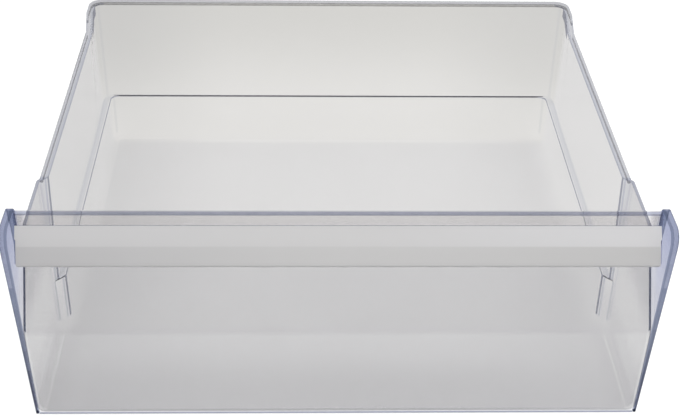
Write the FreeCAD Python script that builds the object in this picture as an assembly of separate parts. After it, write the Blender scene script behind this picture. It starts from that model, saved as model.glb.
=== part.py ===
"""Freezer drawer: a clear moulded bin, a clear front panel and a frosted handle strip.

Millimetres. X runs across the drawer, Y from the front panel to the rear wall and Z up.
While it is modelled, Y is 0 at the front plane. The finished pieces are moved together, so
that the origin lies at the middle of the bottom of the whole drawer.
"""
import FreeCAD
import Part

import math
import os

os.makedirs("parts", exist_ok=True)

# Front panel
front_width = 450.0            # across the tops of the cheeks
front_height = 155.2           # floor to the top of the cheeks
front_lean = 1.4               # degrees by which the front leans forward going up
cheek_outer_lean = 3.6         # degrees by which a cheek's outer face closes in downwards
cheek_inner_lean = 2.4         # degrees by which its inner face does
cheek_thickness_top = 5.6
cheek_nose_height = 132.0      # where the straight front edge ends and the nose begins
cheek_nose_radius = 20.0
cheek_rear_radius = 3.0
cheek_foot_radius = 1.0
panel_thickness = 2.8
panel_bend_height = 73.0       # top of the lower plate
panel_bend_radius = 16.0
recess_depth = 31.5            # front plane to the rear wall of the finger recess
recess_slope = 38.5            # degrees from upright of the sloping plate
recess_corner_radius = 12.0
bend_below_cheek = 0.8         # top of the handle's bend below the top of the cheeks
bend_width = 8.7               # outside width of the bend that carries the lip
bend_radius = 4.2
lip_thickness = 2.2
lip_reach = 25.4               # from the bend's rear face forward to the lip's edge
lip_drop = 28.2                # from the top of the bend down to the lip's edge
lip_bulge = 1.4                # how far the lip stands out of its straight line
lip_bulge_radius = 60.0
lip_edge_round = 0.8
panel_edge_round = 0.4

# Handle strip
strip_thickness = 1.6
strip_drop = 8.4               # top of the strip below the top of the bend
strip_hook = 3.0               # turned-in lower edge of the strip
strip_edge_round = 0.3
strip_nose_round = 1.4
strip_notch_height = 12.6      # lower stretch of the strip that stops short of the cheeks
strip_notch_depth = 0.8
strip_seat_clearance = 0.2
strip_end_clearance = 0.3

# Bin
rim_height = 131.0
wall = 2.4
floor_thickness = 2.4
bin_side_setback = 8.3         # inside of the bin behind the cheeks' outer faces, at the rim
front_side_draft = 1.9         # degrees
jog_width = 5.7                # by which each side comes in at the jog
upper_side_draft = 0.2
lower_side_draft = 1.4
inside_depth_rim = 425.0       # front plane to the inside of the rear wall at the rim
upper_rear_draft = 9.4
lower_rear_draft = 7.5
ledge_height = 43.8            # level of the ledge that runs along both sides
ledge_width = 4.8
ledge_width_rear = 1.0
jog_depth = 114.0              # front plane to the rear end of the jog at the rim
jog_angle = 45.0
jog_draft = 3.7
jog_round = 6.0
rear_corner_radius = 7.0
rear_flare = 5.0               # outward flare of the rear corners at the rim
rear_flare_low = 1.0           # and at the ledge
rear_flare_start = 60.0        # start of the flare in front of the rear wall
rear_flare_length = 41.0
rear_flare_round = 25.0
floor_round = 5.4              # between the floor and the walls
bin_front_clearance = 0.25     # between the bin and the front panel

# Rim flange
flange_thickness = 2.0
flange_width_side = 3.9
flange_width_rear = 8.1
flange_corner_radius = 12.0
flange_skirt_height = 3.0
flange_skirt_thickness = 1.6
flange_gap_start = 37.0        # the skirt is open at the rear corners, from here to there
flange_gap_end = 71.0          # in front of the flange's rear edge

front_half_width_rim = front_width / 2 - bin_side_setback
rear_half_width_rim = front_half_width_rim - jog_width
past = 20.0                    # how far cutting solids reach past what they cut


def tangent(degrees):
    """Slope of a face that leans by this many degrees."""
    return math.tan(math.radians(degrees))


def rounded_wire(corners):
    """Closed wire through corners given as (point, radius), with tangent arcs."""
    count = len(corners)
    spans = []
    for index, (point, radius) in enumerate(corners):
        to_last = corners[index - 1][0] - point
        to_next = corners[(index + 1) % count][0] - point
        half = to_last.getAngle(to_next) / 2
        longest = 0.48 * min(to_last.Length, to_next.Length)
        setback = min(radius / math.tan(half), longest)
        if setback < 1e-3:
            spans.append((point, None, point))
            continue
        bend = setback * math.tan(half)
        to_last.normalize()
        to_next.normalize()
        middle = to_last + to_next
        middle.normalize()
        spans.append((point + to_last * setback,
                      point + middle * (bend / math.sin(half) - bend),
                      point + to_next * setback))
    edges = []
    for index, (start, middle, end) in enumerate(spans):
        if middle is not None:
            edges.append(Part.Arc(start, middle, end).toShape())
        edges.append(Part.makeLine(end, spans[(index + 1) % count][0]))
    return Part.Wire(edges)


def side_prism(corners, half_length):
    """Solid with an outline in the Y-Z plane, between -half_length and +half_length in X."""
    placed = [(FreeCAD.Vector(-half_length, y, z), radius) for y, z, radius in corners]
    face = Part.Face(rounded_wire(placed))
    return face.extrude(FreeCAD.Vector(2 * half_length, 0, 0))


def plan_wire(half_corners, z):
    """Closed wire at height z, mirrored about X = 0, from corners (x, y, radius) with x > 0."""
    right = [(FreeCAD.Vector(x, y, z), radius) for x, y, radius in half_corners]
    left = [(FreeCAD.Vector(-x, y, z), radius) for x, y, radius in reversed(half_corners)]
    return rounded_wire(right + left)


def leaning_wedge(half_at_top, lean, length):
    """Solid between two faces that close in downwards, half_at_top apart at front_height."""
    half_below = half_at_top - (front_height + past) * tangent(lean)
    half_above = half_at_top + past * tangent(lean)
    low, high = -past, front_height + past
    corners = [FreeCAD.Vector(x, -past, z) for x, z in
               ((-half_below, low), (half_below, low), (half_above, high), (-half_above, high))]
    face = Part.Face(Part.makePolygon(corners + corners[:1]))
    return face.extrude(FreeCAD.Vector(0, length, 0))


# Side view of the front panel, as points (y, z) on the faces that look forward
front_foot = (cheek_nose_height * tangent(front_lean), 0.0)
panel_bend = ((cheek_nose_height - panel_bend_height) * tangent(front_lean), panel_bend_height)
recess_corner = (recess_depth,
                 panel_bend_height + (recess_depth - panel_bend[0]) / tangent(recess_slope))
bend_top = front_height - bend_below_cheek
bend_rear = recess_depth + panel_thickness
bend_front = bend_rear - bend_width
lip_top = (bend_front, bend_top - strip_drop)
lip_edge = (bend_rear - lip_reach, bend_top - lip_drop)
overall_depth = inside_depth_rim + wall + flange_width_rear


def shifted(point, along, distance):
    """The point moved sideways, to the right of a direction (y, z) of travel."""
    length = math.hypot(along[0], along[1])
    return (point[0] + along[1] / length * distance, point[1] - along[0] / length * distance)


def panel_side(distance):
    """The panel's path from its foot to the bend, moved back by this distance."""
    lower = math.radians(-front_lean)
    slope = math.radians(recess_slope)
    points = [(front_foot[0] + distance / math.cos(lower), 0.0)]
    for (y, z), before, after in ((panel_bend, lower, slope), (recess_corner, slope, 0.0)):
        middle = (before + after) / 2
        stretch = distance / math.cos((after - before) / 2)
        points.append((y + stretch * math.cos(middle), z - stretch * math.sin(middle)))
    return points


def panel_back(distance):
    """Corners (y, z, radius) of the panel's rear face, from the bend down to the foot."""
    foot, bend, corner = panel_side(distance)
    return [
        (corner[0], corner[1], recess_corner_radius + distance),
        (bend[0], bend[1], max(panel_bend_radius - distance, 1.0)),
        (foot[0], foot[1], panel_edge_round),
    ]


def lip_line(depth):
    """Top and middle of the strip's face and the lip's edge, moved in by this depth."""
    along = (lip_edge[0] - lip_top[0], lip_edge[1] - lip_top[1])
    middle = ((lip_top[0] + lip_edge[0]) / 2, (lip_top[1] + lip_edge[1]) / 2)
    middle = shifted(middle, along, lip_bulge)
    return [shifted(point, along, -depth) for point in (lip_top, middle, lip_edge)]


def make_front_panel():
    """Panel, finger recess and handle lip in one section, closed by a cheek at each end."""
    seat = strip_thickness + strip_seat_clearance
    front = panel_side(0.0)
    seat_top, seat_middle, seat_edge = lip_line(seat)
    rear_top, rear_middle, rear_edge = lip_line(seat + lip_thickness)
    inside_radius = bend_radius - lip_thickness
    panel = side_prism([
        (front[0][0], front[0][1], panel_edge_round),
        (front[1][0], front[1][1], panel_bend_radius),
        (front[2][0], front[2][1], recess_corner_radius),
        (recess_depth, bend_top - lip_thickness, inside_radius),
        (rear_top[0], bend_top - lip_thickness, inside_radius),
        (rear_top[0], rear_top[1], bend_radius),
        (rear_middle[0], rear_middle[1], lip_bulge_radius),
        (rear_edge[0], rear_edge[1], lip_edge_round),
        (seat_edge[0], seat_edge[1], lip_edge_round),
        (seat_middle[0], seat_middle[1], lip_bulge_radius),
        (seat_top[0], seat_top[1], 0.0),
        (lip_top[0], lip_top[1], panel_edge_round),
        (bend_front, bend_top, bend_radius),
        (bend_rear, bend_top, bend_radius),
    ] + panel_back(panel_thickness), front_width)
    cheek = side_prism([
        (front_foot[0], front_foot[1], cheek_foot_radius),
        (0.0, cheek_nose_height, cheek_nose_radius),
        (0.0, front_height, cheek_nose_radius),
        (bend_rear, front_height, cheek_rear_radius),
    ] + panel_back(panel_thickness), front_width)

    reach = 3 * past
    outside = leaning_wedge(front_width / 2, cheek_outer_lean, reach)
    inside = leaning_wedge(front_width / 2 - cheek_thickness_top, cheek_inner_lean, reach)
    cheeks = cheek.common(outside).cut(inside)
    return panel.common(outside).fuse(cheeks).removeSplitter()


def make_handle_strip():
    """Convex strip that lies in the lip's seat and hooks under its edge."""
    top, middle, edge = lip_line(0.0)
    back_top, back_middle, back_edge = lip_line(strip_thickness)
    along = (edge[0] - top[0], edge[1] - top[1])
    length = math.hypot(along[0], along[1])

    def lowered(point, distance):
        """The point moved down the strip by this distance."""
        return (point[0] + along[0] / length * distance, point[1] + along[1] / length * distance)

    low_edge = lowered(edge, strip_seat_clearance + strip_thickness)
    hook_low = shifted(low_edge, along, -(strip_thickness + strip_hook))
    hook_high = lowered(hook_low, -strip_thickness)
    hook_root = lowered(back_edge, strip_seat_clearance)
    start = lowered(top, strip_seat_clearance)
    back_start = lowered(back_top, strip_seat_clearance)
    strip = side_prism([
        (start[0], start[1], strip_edge_round),
        (middle[0], middle[1], lip_bulge_radius),
        (low_edge[0], low_edge[1], strip_nose_round),
        (hook_low[0], hook_low[1], strip_edge_round),
        (hook_high[0], hook_high[1], strip_edge_round),
        (hook_root[0], hook_root[1], strip_edge_round),
        (back_middle[0], back_middle[1], lip_bulge_radius),
        (back_start[0], back_start[1], strip_edge_round),
    ], front_width)
    half_end = front_width / 2 - cheek_thickness_top - strip_end_clearance
    ends = leaning_wedge(half_end, cheek_inner_lean, 3 * past)
    notched = leaning_wedge(half_end - strip_notch_depth, cheek_inner_lean, 3 * past)
    lower = Part.makeBox(2 * front_width, 4 * past, strip_notch_height + past,
                         FreeCAD.Vector(-front_width, -past, lip_edge[1] - past))
    return strip.common(ends).cut(lower.cut(notched))


def front_half(z):
    """Half the inside width in front of the jog, at height z."""
    return front_half_width_rim - (rim_height - z) * tangent(front_side_draft)


def upper_section(z):
    """Half width, depth and flare of the inside behind the jog, above the ledge."""
    fall = rim_height - z
    half = rear_half_width_rim - fall * tangent(upper_side_draft)
    depth = inside_depth_rim - fall * tangent(upper_rear_draft)
    share = fall / (rim_height - ledge_height)
    return half, depth, rear_flare + (rear_flare_low - rear_flare) * share


def lower_section(z):
    """Half width, depth and flare of the inside behind the jog, below the ledge."""
    half, depth, _ = upper_section(ledge_height)
    fall = ledge_height - z
    half = half - ledge_width - fall * tangent(lower_side_draft)
    depth = depth - ledge_width_rear - fall * tangent(lower_rear_draft)
    return half, depth, 0.0


def bin_outline(z, section, grow):
    """Half of the bin's outline at height z, grown outwards from the inside face."""
    half, depth, flare = section(z)
    rear_end = jog_depth - (rim_height - z) * tangent(jog_draft)
    ledge_shift = (upper_section(z)[0] - half) * tangent(jog_angle)
    rear_end += max(ledge_shift, 0.0)
    front_end = rear_end - (front_half(z) - half) * tangent(jog_angle)
    corner_shift = grow * math.tan(math.radians(jog_angle) / 2)
    side = half + grow
    rear = depth + grow
    start = depth - rear_flare_start
    corners = [
        (front_half(z) + grow, -past, 0.0),
        (front_half(z) + grow, front_end + corner_shift, jog_round),
        (side, rear_end + corner_shift, jog_round),
    ]
    if flare > 0:
        corners.append((side, start, rear_flare_round))
        corners.append((side + flare, start + rear_flare_length, rear_flare_round))
    corners.append((side + flare, rear, rear_corner_radius + grow))
    return corners


def bin_stretch(section, grow, low, high):
    """Solid between two heights, with the bin's outline grown by a wall or by nothing."""
    wires = [plan_wire(bin_outline(z, section, grow), z) for z in (low, high)]
    return Part.makeLoft(wires, True, True)


def round_bottom(solid, radius):
    """The solid with its lowest edges rounded, apart from the one at its open front."""
    level = solid.BoundBox.ZMin
    radius = min(radius, 0.9 * jog_round, 0.9 * rear_corner_radius)
    edges = [edge for edge in solid.Edges
             if edge.BoundBox.ZMax < level + 0.01 and edge.BoundBox.YMax > -past + 0.01]
    return solid.makeFillet(radius, edges)


def flange_outline(z, inset):
    """Half of the flange's outline, set in from its outer edge."""
    half, depth, flare = upper_section(z)
    side = half + wall + flange_width_side - inset
    rear = depth + wall + flange_width_rear - inset
    start = depth - rear_flare_start
    return [
        (side, jog_depth - (front_half(z) - half), 0.0),
        (side, start, rear_flare_round),
        (side + flare, start + rear_flare_length, rear_flare_round),
        (side + flare, rear, max(flange_corner_radius - inset, 1.0)),
    ]


def flange_plate(low, high, inset):
    """Level plate over the bin, with the flange's outline."""
    face = Part.Face(plan_wire(flange_outline(rim_height, inset), low))
    return face.extrude(FreeCAD.Vector(0, 0, high - low))


def make_flange(inside):
    """Flange along the rim behind the jog, with a skirt that is open at the rear corners."""
    under = rim_height - flange_thickness
    plate = flange_plate(under, rim_height, 0.0)
    low = under - flange_skirt_height
    skirt = flange_plate(low, under, 0.0).cut(flange_plate(low, under, flange_skirt_thickness))
    rear = inside_depth_rim + wall + flange_width_rear
    front_part = jog_depth + past
    skirt = skirt.cut(Part.makeBox(2 * front_width, front_part + past, rim_height,
                                   FreeCAD.Vector(-front_width, -past, 0)))
    gap_length = flange_gap_end - flange_gap_start
    skirt = skirt.cut(Part.makeBox(2 * front_width, gap_length, rim_height,
                                   FreeCAD.Vector(-front_width, rear - flange_gap_end, 0)))
    return plate.cut(inside).fuse(skirt)


def make_bin():
    """Floor, walls with their ledge and jog, and the rim flange, open at the top and front."""
    ledge_under = ledge_height - wall
    outer_low = round_bottom(bin_stretch(lower_section, wall, 0.0, ledge_under), floor_round)
    outer_high = bin_stretch(upper_section, wall, ledge_under, rim_height)
    inner_low = round_bottom(bin_stretch(lower_section, 0.0, floor_thickness, ledge_height),
                             floor_round)
    inner_high = bin_stretch(upper_section, 0.0, ledge_height, rim_height + past)
    inside = inner_low.fuse(inner_high)
    shell = outer_low.fuse(outer_high).cut(inside)

    before = side_prism([
        (-2 * past, front_height + past, 0.0),
        (bend_rear + bin_front_clearance, front_height + past, 0.0),
    ] + panel_back(panel_thickness + bin_front_clearance) + [
        (front_foot[0] + panel_thickness + bin_front_clearance, -past, 0.0),
        (-2 * past, -past, 0.0),
    ], front_width)
    return shell.fuse(make_flange(inside)).cut(before).removeSplitter()


pieces = {
    "drawer_bin": make_bin(),
    "front_panel": make_front_panel(),
    "handle_strip": make_handle_strip(),
}

for name, shape in pieces.items():
    shape.translate(FreeCAD.Vector(0, -overall_depth / 2, 0))
    print(name, "valid", shape.isValid(), "solids", len(shape.Solids),
          "volume cm3", round(shape.Volume / 1000, 1))
    shape.exportStep("parts/" + name + ".step")
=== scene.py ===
"""Looks of a clear moulded freezer drawer, built around its packed construction model.

Lengths are in metres unless a name says otherwise. X runs across the drawer, Y from the front
panel to the rear wall and Z up; the origin lies at the middle of the drawer's bottom.
"""

import logging
import math
from collections.abc import Callable, Sequence
from dataclasses import dataclass, field, replace
from enum import Enum

import bmesh
import bpy
from mathutils import Matrix, Vector

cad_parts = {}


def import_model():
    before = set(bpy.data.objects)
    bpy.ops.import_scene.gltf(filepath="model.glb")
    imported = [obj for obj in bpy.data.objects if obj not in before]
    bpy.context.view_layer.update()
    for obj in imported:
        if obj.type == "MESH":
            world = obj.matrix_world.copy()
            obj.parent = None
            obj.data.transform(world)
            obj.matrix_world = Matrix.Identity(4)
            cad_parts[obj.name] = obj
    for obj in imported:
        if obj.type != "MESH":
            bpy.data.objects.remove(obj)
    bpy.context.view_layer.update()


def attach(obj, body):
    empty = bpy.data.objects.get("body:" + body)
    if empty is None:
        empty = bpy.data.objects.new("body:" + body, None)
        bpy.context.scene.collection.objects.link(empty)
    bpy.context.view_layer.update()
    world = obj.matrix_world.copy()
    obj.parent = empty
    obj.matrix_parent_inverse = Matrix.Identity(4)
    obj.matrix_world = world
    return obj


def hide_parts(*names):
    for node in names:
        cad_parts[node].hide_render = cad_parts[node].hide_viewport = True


LOG = logging.getLogger("freezer_drawer")
BODY = "root"
EDGE_LAYER = "edge_tint_light_and_shade"
MM = 0.001
SAME_PLACE = 0.01 * MM  # vertices that lie closer than this are one
SHARP_DEGREES = 38.0  # edges that turn by more are shaded as sharp
NEARLY_HALF = 0.49  # share of a straight side that an arc may take up
STRAIGHT = 0.001  # an arc that turns by less, in radians, is drawn as a straight line
HALF_DEPTH = 217.75  # millimetres from the front plane to the drawer's middle
# Edge marks: above 0 they mix in the bluish edge tint, then painted dark lines of shade along
# sharp edges, nearly black at DARK; below 0 they paint light by lightening a face towards
# white.
FACE = 0.56  # edge mark of a cheek's broad faces at the top
NARROW = 0.5  # edge mark of a narrow face
LINE = 1.0  # edge mark of the round along a sharp edge
FOOT = 1.4  # edge mark of the panel's foot and of the sloping plate's ends
DARK = 1.5  # edge mark of an edge that shows as a nearly black line
CLEAR = -1.0  # edge mark of a face that tints nothing
FRONT_STEPS = (112.0, 94.0, 76.0, 58.0, 40.0, 22.0, 10.0)  # heights along a cheek's front
FACE_STEPS = tuple(float(z) for z in range(60, 150, 6))  # heights at which a cheek is sliced
JOG_STEPS = 4  # segments of the rounds at a jog
CORNER_STEPS = 8  # segments of larger rounds
# Angles at which the round of the floor and the round of an edge have their rings
FLOOR_ANGLES = tuple(math.radians(angle) for angle in (0.0, 22.5, 45.0, 67.5, 90.0))
EDGE_ANGLES = tuple(math.radians(angle) for angle in (0.0, 30.0, 60.0, 90.0))

Colour = tuple[float, float, float]
Corner = tuple[float, float, float]
Place = tuple[float, float, float]
NodeSocket = bpy.types.NodeSocket
Vertex = bmesh.types.BMVert

WHITE: Colour = (1.0, 1.0, 1.0)


class Node(str, Enum):
    """Names of the construction model's nodes."""

    BIN = "drawer_bin"
    PANEL = "front_panel"
    STRIP = "handle_strip"


class Slot(str, Enum):
    """Names of the record's material slots."""

    BIN = "bin_plastic"
    PANEL = "panel_plastic"
    STRIP = "strip_plastic"


class NodeGraph:
    """Small helper that adds nodes to one tree and links them."""

    def __init__(self, tree: bpy.types.NodeTree) -> None:
        """Takes the tree that the nodes go into."""
        self.tree = tree

    def add(self, kind: str, **inputs: object) -> bpy.types.Node:
        """Adds a node.

        Args:
            kind: The node's type name.
            **inputs: Values or sockets by input name, with underscores for spaces.

        Returns:
            The new node.
        """
        node = self.tree.nodes.new(kind)
        for name, value in inputs.items():
            self.set(node.inputs[name.replace("_", " ")], value)
        return node

    def set(self, socket: NodeSocket, value: object) -> None:
        """Links a socket to another one, or gives it a constant.

        Args:
            socket: The socket.
            value: The other socket or the constant.
        """
        if isinstance(value, NodeSocket):
            self.tree.links.new(value, socket)
        else:
            socket.default_value = value

    def math(self, operation: str, first: object, second: object = 0.0) -> NodeSocket:
        """Adds a maths node.

        Args:
            operation: The node's operation.
            first: Its first value or socket.
            second: Its second one.

        Returns:
            The result's socket.
        """
        node = self.tree.nodes.new("ShaderNodeMath")
        node.operation = operation
        self.set(node.inputs[0], first)
        self.set(node.inputs[1], second)
        return node.outputs[0]

    def mix(self, share: object, first: object, second: object) -> NodeSocket:
        """Adds a mix of two colours.

        Args:
            share: How much of the second colour there is, as a value or a socket.
            first: The first colour or its socket.
            second: The second one.

        Returns:
            The mixed colour's socket.
        """
        node = self.tree.nodes.new("ShaderNodeMix")
        node.data_type = "RGBA"
        self.set(node.inputs["Factor"], share)
        self.set(node.inputs[6], first)
        self.set(node.inputs[7], second)
        return node.outputs[2]

    def attribute(self, name: str) -> NodeSocket:
        """Adds a node that reads an attribute of the mesh.

        Args:
            name: The attribute's name.

        Returns:
            Its value's socket.
        """
        node = self.tree.nodes.new("ShaderNodeAttribute")
        node.attribute_name = name
        return node.outputs["Fac"]

    def place(self) -> bpy.types.Node:
        """Adds a node with the outputs X, Y and Z of a point in the object's own frame."""
        where = self.add("ShaderNodeTexCoord").outputs["Object"]
        return self.add("ShaderNodeSeparateXYZ", Vector=where)


def rgba(colour: Colour) -> tuple[float, float, float, float]:
    """A colour with full alpha, as sockets want it."""
    return (*colour, 1.0)


@dataclass(frozen=True)
class Moulding:
    """The faint unevenness that every moulded face shares, as one node group.

    Attributes:
        cloud_size: Size of the soft clouds in the tint.
        ripple_size: Size of the slow waves in the surface.
        name: The group's name.
    """

    cloud_size: float = 0.09
    ripple_size: float = 0.035
    name: str = "moulded_surface"

    def group(self) -> bpy.types.NodeTree:
        """Builds the group once.

        Returns:
            A group with the outputs Cloud (0 to 1), Roughness and Height.
        """
        made = bpy.data.node_groups.get(self.name)
        if made is not None:
            return made
        made = bpy.data.node_groups.new(self.name, "ShaderNodeTree")
        face = made.interface
        for label, value in (("Base Roughness", 0.02), ("Roughness Spread", 0.02)):
            socket = face.new_socket(label, in_out="INPUT", socket_type="NodeSocketFloat")
            socket.default_value = value
        for label in ("Cloud", "Roughness", "Height"):
            face.new_socket(label, in_out="OUTPUT", socket_type="NodeSocketFloat")
        graph = NodeGraph(made)
        given = graph.add("NodeGroupInput")
        result = graph.add("NodeGroupOutput")
        where = graph.add("ShaderNodeTexCoord").outputs["Object"]
        cloud = graph.add("ShaderNodeTexNoise", Vector=where, Scale=1 / self.cloud_size,
                          Detail=2.0, Roughness=0.5)
        ripple = graph.add("ShaderNodeTexNoise", Vector=where, Scale=1 / self.ripple_size,
                           Detail=1.0, Roughness=0.4)
        spread = graph.math("MULTIPLY", cloud.outputs["Fac"], given.outputs["Roughness Spread"])
        graph.set(result.inputs["Cloud"], cloud.outputs["Fac"])
        graph.set(result.inputs["Roughness"],
                  graph.math("ADD", spread, given.outputs["Base Roughness"]))
        graph.set(result.inputs["Height"], ripple.outputs["Fac"])
        return made


class Axis(str, Enum):
    """Directions along which a tint can change."""

    ACROSS = "X"
    DEPTH = "Y"
    HEIGHT = "Z"


@dataclass(frozen=True)
class Span:
    """A stretch over which a mask rises from 0 to 1.

    Attributes:
        axis: Its direction.
        start: Where the mask is still 0.
        end: Where it has reached 1.
    """

    axis: Axis
    start: float
    end: float

    def mask(self, graph: NodeGraph, where: bpy.types.Node) -> NodeSocket:
        """Adds the mask's nodes.

        Args:
            graph: The material's nodes.
            where: A node with the outputs X, Y and Z.

        Returns:
            The mask's output.
        """
        ramp = graph.add("ShaderNodeMapRange", Value=where.outputs[self.axis.value])
        ramp.interpolation_type = "SMOOTHSTEP"
        ramp.inputs["From Min"].default_value = self.start
        ramp.inputs["From Max"].default_value = self.end
        return ramp.outputs["Result"]


@dataclass(frozen=True)
class ShadingZone:
    """A part of a moulding where painted light or shade changes its tint.

    Attributes:
        tint: The zone's tint, which paints its light or shade.
        spans: Where it is, as the product of these masks.
    """

    tint: Colour
    spans: tuple[Span, ...]

    def over(self, graph: NodeGraph, where: bpy.types.Node, colour: object) -> NodeSocket:
        """Lays the zone's tint over a colour.

        Args:
            graph: The material's nodes.
            where: A node with the outputs X, Y and Z.
            colour: The colour outside the zone.

        Returns:
            The colour's output.
        """
        mask = self.spans[0].mask(graph, where)
        for span in self.spans[1:]:
            mask = graph.math("MULTIPLY", mask, span.mask(graph, where))
        return graph.mix(mask, colour, rgba(self.tint))


def both_ends(tint: Colour, start: float, end: float, *others: Span) -> tuple[ShadingZone, ShadingZone]:
    """Makes a zone at the left end of the drawer and its mirror image at the right end.

    Args:
        tint: Their tint.
        start: Distance from the middle at which their masks are still 0.
        end: Distance from the middle at which they have reached 1.
        *others: More spans that bound both.

    Returns:
        The two zones.
    """
    return (ShadingZone(tint, (*others, Span(Axis.ACROSS, -start, -end))),
            ShadingZone(tint, (*others, Span(Axis.ACROSS, start, end))))


@dataclass(frozen=True)
class Plastic:
    """What the drawer's plastics have in common.

    Attributes:
        name: The material's name.
        tint: Colour of the broad faces.
        shading_zones: Parts tinted to paint light or shade, each over the ones before it.
        line_shade: Painted shade lines along the sharp edges, as the colour of their rounds.
    """

    name: str
    tint: Colour
    shading_zones: tuple[ShadingZone, ...]
    line_shade: Colour

    def start(self, roughness: float) -> tuple[bpy.types.Material, NodeGraph, bpy.types.Node]:
        """Starts the material with the moulded faces' own unevenness.

        Args:
            roughness: Roughness of the smoothest places.

        Returns:
            The material, its nodes and the node with the outputs Cloud and Height.
        """
        made = bpy.data.materials.new(self.name)
        made.use_nodes = True
        graph = NodeGraph(made.node_tree)
        surface = graph.add("ShaderNodeGroup")
        surface.node_tree = Moulding().group()
        surface.inputs["Base Roughness"].default_value = roughness
        shader = made.node_tree.nodes["Principled BSDF"]
        graph.set(shader.inputs["Roughness"], surface.outputs["Roughness"])
        return made, graph, surface

    def zoned(self, graph: NodeGraph, colour: object) -> object:
        """Lays the zones' painted light and shade over a colour.

        Args:
            graph: The material's nodes.
            colour: The colour outside the zones.

        Returns:
            The colour's output.
        """
        where = graph.place()
        for zone in self.shading_zones:
            colour = zone.over(graph, where, colour)
        return colour


@dataclass(frozen=True)
class ClearPlastic(Plastic):
    """Transparent polystyrene that looks bluish at its edges, with painted dark lines of shade
    along its sharp edges.

    Attributes:
        edge_tint: Colour of light that has crossed a narrow edge face.
        black_line_shade: Painted shade for the few edges that show as nearly black lines.
        cloud: How much the tint varies from place to place.
        roughness: Roughness of the polished faces.
        ripple: Strength of the slow waves in the faces.
        ripple_height: Height of those waves.
        refraction: Index of refraction, low enough for the walls to look thin.
        gloss: Weight of the reflecting skin.
        gloss_roughness: Roughness of that skin.
        passed: Share of the lamps' light that each face lets through to what is behind it.
    """

    edge_tint: Colour
    black_line_shade: Colour = (0.02, 0.02, 0.025)
    cloud: float = 0.05
    roughness: float = 0.02
    ripple: float = 0.012
    ripple_height: float = MM
    refraction: float = 1.006
    gloss: float = 0.12
    gloss_roughness: float = 0.2
    passed: float = 0.95

    def material(self) -> bpy.types.Material:
        """Builds the material.

        Returns:
            The new material.
        """
        made, graph, surface = self.start(self.roughness)
        shader = made.node_tree.nodes["Principled BSDF"]
        graph.set(shader.inputs["Base Color"], self._tint(graph, surface.outputs["Cloud"]))
        bump = graph.add("ShaderNodeBump", Height=surface.outputs["Height"],
                         Strength=self.ripple, Distance=self.ripple_height)
        graph.set(shader.inputs["Normal"], bump.outputs["Normal"])
        path = graph.add("ShaderNodeLightPath")
        passing = graph.math("MAXIMUM", path.outputs["Is Shadow Ray"],
                             path.outputs["Is Diffuse Ray"])
        graph.set(shader.inputs["Alpha"],
                  graph.math("SUBTRACT", 1.0, graph.math("MULTIPLY", passing, self.passed)))
        shader.inputs["IOR"].default_value = self.refraction
        shader.inputs["Transmission Weight"].default_value = 1.0
        shader.inputs["Coat Weight"].default_value = self.gloss
        shader.inputs["Coat Roughness"].default_value = self.gloss_roughness
        return made

    def _tint(self, graph: NodeGraph, cloud: NodeSocket) -> NodeSocket:
        """Mixes tints of broad faces, painted light and shade zones, narrow faces, sharp edges.

        Args:
            graph: The material's nodes.
            cloud: The soft clouds, from 0 to 1.

        Returns:
            The mixed tint's output.
        """
        dense = tuple(channel * (1 - self.cloud) for channel in self.tint)
        colour = self.zoned(graph, graph.mix(cloud, rgba(self.tint), rgba(dense)))
        mark = graph.attribute(EDGE_LAYER)
        # A negative mark lightens towards white: painted light.
        lack = graph.math("MINIMUM", graph.math("MULTIPLY", mark, CLEAR), 1.0)
        colour = graph.mix(graph.math("MAXIMUM", lack, 0.0), colour, rgba(WHITE))
        # Rising marks mix in the edge tint, then painted dark lines of shade, then nearly black
        # painted shade.
        levels = ((0.0, self.edge_tint), (NARROW, self.line_shade), (LINE, self.black_line_shade))
        for start, tint in levels:
            rise = graph.math("SUBTRACT", mark, start)
            rise = graph.math("MAXIMUM", graph.math("DIVIDE", rise, NARROW), 0.0)
            colour = graph.mix(graph.math("MINIMUM", rise, 1.0), colour, rgba(tint))
        return colour


@dataclass(frozen=True)
class FrostedPlastic(Plastic):
    """Whitish plastic that lets some light through.

    Attributes:
        alpha: How much it covers what lies behind it.
        roughness: Roughness of the surface.
    """

    alpha: float = 0.85
    roughness: float = 0.35

    def material(self) -> bpy.types.Material:
        """Builds the material.

        Returns:
            The new material.
        """
        made, graph, _ = self.start(self.roughness)
        shader = made.node_tree.nodes["Principled BSDF"]
        mark = graph.attribute(EDGE_LAYER)
        # The edge marks paint dark lines of shadow along the strip's edges.
        colour = graph.mix(mark, self.zoned(graph, rgba(self.tint)), rgba(self.line_shade))
        graph.set(shader.inputs["Base Color"], colour)
        shader.inputs["Alpha"].default_value = self.alpha
        return made


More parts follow.
